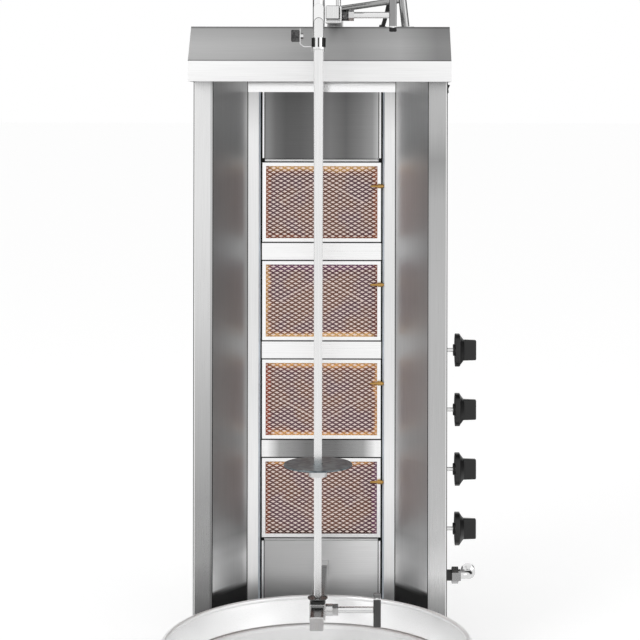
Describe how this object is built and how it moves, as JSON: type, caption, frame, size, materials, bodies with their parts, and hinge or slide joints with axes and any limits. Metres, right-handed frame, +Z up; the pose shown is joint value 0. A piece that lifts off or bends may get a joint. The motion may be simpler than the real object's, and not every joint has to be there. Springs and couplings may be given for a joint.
{
  "type": "doner kebab grill",
  "caption": "Upright gas doner grill: burner wall with angled reflectors and a hood, motor-driven spit on sliding arms, knobs at the side and a round drip pan.",
  "frame": {"origin": "middle of the footprint's box, on the surface that the feet stand on", "axes": "+Z up along the spit, +Y from the spit to the burners and the back, +X to the side with the knobs"},
  "size_m": [0.6, 0.7412, 1.508],
  "materials": {
    "stainless": "brushed",
    "polished_steel": "polished",
    "pan_steel": "bright, spun",
    "black_plastic": "moulded",
    "black_rubber": "matte",
    "heat_tinted_steel": "heat tinted",
    "ceramic": "matt ceramic",
    "brass": "turned",
    "copper_pipe": "drawn",
    "black_iron": "matte",
    "motor_paint": "satin",
    "zinc": "zinc plated"
  },
  "bodies": {
    "body": {"base_platform": "stainless", "rubber_feet": "black_rubber", "left_side_panel": "stainless", "right_side_panel": "stainless", "left_reflector": "stainless", "right_reflector": "stainless", "back_cover": "stainless", "panel_screws": "zinc", "hood": "stainless", "window_header": "stainless", "upper_plate": "stainless", "lower_plate": "stainless", "burner_dividers": "stainless", "burner_screen_1": "heat_tinted_steel", "burner_screen_2": "heat_tinted_steel", "burner_screen_3": "heat_tinted_steel", "burner_screen_4": "heat_tinted_steel", "burner_housings": "stainless", "ceramic_plaques": "ceramic", "thermocouples": "brass", "gas_injectors": "brass", "burner_feed_pipes": "copper_pipe", "gas_manifold": "black_iron", "gas_valves": "brass", "inlet_nipple": "black_iron", "inlet_union_nut": "polished_steel", "inlet_elbow": "polished_steel", "switch_frame": "black_plastic", "arm_guides": "stainless", "lower_arm": "stainless", "upper_arm": "stainless", "arm_end_caps": "stainless", "roof_gland": "black_rubber", "motor_cable": "black_rubber", "roof_stay": "polished_steel"},
    "drive_carriage": {"upper_sleeve": "stainless", "motor_bracket": "stainless", "gear_motor": "motor_paint", "motor_housing": "stainless", "housing_gland": "black_rubber"},
    "spit": {"spit_holder": "polished_steel", "spit_bar": "stainless"},
    "collar": {"lock_collar": "polished_steel", "collar_grip": "black_plastic"},
    "meat_rest": {"meat_plate": "polished_steel"},
    "upper_screw": {"upper_clamp_screw": "polished_steel"},
    "foot_carriage": {"lower_sleeve": "stainless", "pivot_bearing": "black_plastic"},
    "foot_cup": {"pivot_cup": "polished_steel"},
    "lower_screw": {"lower_clamp_screw": "polished_steel"},
    "rocker": {"switch_rocker": "black_plastic"},
    "pan": {"drip_pan": "pan_steel"},
    "spindle_1": {"valve_spindle_1": "zinc"},
    "knob_1": {"control_knob_1": "black_plastic"},
    "spindle_2": {"valve_spindle_2": "zinc"},
    "knob_2": {"control_knob_2": "black_plastic"},
    "spindle_3": {"valve_spindle_3": "zinc"},
    "knob_3": {"control_knob_3": "black_plastic"},
    "spindle_4": {"valve_spindle_4": "zinc"},
    "knob_4": {"control_knob_4": "black_plastic"}
  },
  "joints": [
    {"name": "drive_carriage_slide", "type": "slide", "parent": "body", "child": "drive_carriage", "axis": [0, 1, 0], "range_m": [-0.05, 0.045], "deforming": ["motor_cable"]},
    {"name": "spit_turn", "type": "hinge", "parent": "drive_carriage", "child": "spit", "pos_m": [-0.015, -0.0326, 1.2], "axis": [0, 0, 1], "continuous": true},
    {"name": "collar_lift", "type": "slide", "parent": "spit", "child": "collar", "axis": [0, 0, 1], "range_m": [0, 0.01]},
    {"name": "meat_plate_slide", "type": "slide", "parent": "spit", "child": "meat_rest", "axis": [0, 0, 1], "range_m": [-0.2, 0.25]},
    {"name": "upper_screw_turn", "type": "hinge", "parent": "drive_carriage", "child": "upper_screw", "pos_m": [0.0125, -0.0326, 1.2875], "axis": [1, 0, 0], "range_deg": [0, 270]},
    {"name": "foot_carriage_slide", "type": "slide", "parent": "body", "child": "foot_carriage", "axis": [0, 1, 0], "range_m": [-0.05, 0.045]},
    {"name": "foot_cup_turn", "type": "hinge", "parent": "foot_carriage", "child": "foot_cup", "pos_m": [-0.015, -0.0326, 0.2], "axis": [0, 0, 1], "continuous": true},
    {"name": "lower_screw_turn", "type": "hinge", "parent": "foot_carriage", "child": "lower_screw", "pos_m": [-0.015, -0.0326, 0.1795], "axis": [1, 0, 0], "range_deg": [0, 270]},
    {"name": "rocker_tilt", "type": "hinge", "parent": "body", "child": "rocker", "pos_m": [0.2345, 0.1724, 1.153], "axis": [0, 1, 0], "range_deg": [-20, 0]},
    {"name": "pan_slide", "type": "slide", "parent": "body", "child": "pan", "axis": [0, -1, 0], "range_m": [0, 0.6]},
    {"name": "knob_1_push", "type": "slide", "parent": "body", "child": "spindle_1", "axis": [-1, 0, 0], "range_m": [0, 0.004], "stiffness_N_per_m": 1500, "springref_m": -0.003},
    {"name": "knob_1_turn", "type": "hinge", "parent": "spindle_1", "child": "knob_1", "pos_m": [0.253, 0.2584, 0.621], "axis": [1, 0, 0], "range_deg": [0, 210]},
    {"name": "knob_2_push", "type": "slide", "parent": "body", "child": "spindle_2", "axis": [-1, 0, 0], "range_m": [0, 0.004], "stiffness_N_per_m": 1500, "springref_m": -0.003},
    {"name": "knob_2_turn", "type": "hinge", "parent": "spindle_2", "child": "knob_2", "pos_m": [0.253, 0.2584, 0.4997], "axis": [1, 0, 0], "range_deg": [0, 210]},
    {"name": "knob_3_push", "type": "slide", "parent": "body", "child": "spindle_3", "axis": [-1, 0, 0], "range_m": [0, 0.004], "stiffness_N_per_m": 1500, "springref_m": -0.003},
    {"name": "knob_3_turn", "type": "hinge", "parent": "spindle_3", "child": "knob_3", "pos_m": [0.253, 0.2584, 0.3784], "axis": [1, 0, 0], "range_deg": [0, 210]},
    {"name": "knob_4_push", "type": "slide", "parent": "body", "child": "spindle_4", "axis": [-1, 0, 0], "range_m": [0, 0.004], "stiffness_N_per_m": 1500, "springref_m": -0.003},
    {"name": "knob_4_turn", "type": "hinge", "parent": "spindle_4", "child": "knob_4", "pos_m": [0.253, 0.2584, 0.2571], "axis": [1, 0, 0], "range_deg": [0, 210]}
  ],
  "couplings": [
    {"joint": "foot_carriage_slide", "follows": "drive_carriage_slide", "ratio": 1},
    {"joint": "foot_cup_turn", "follows": "spit_turn", "ratio": 1}
  ]
}
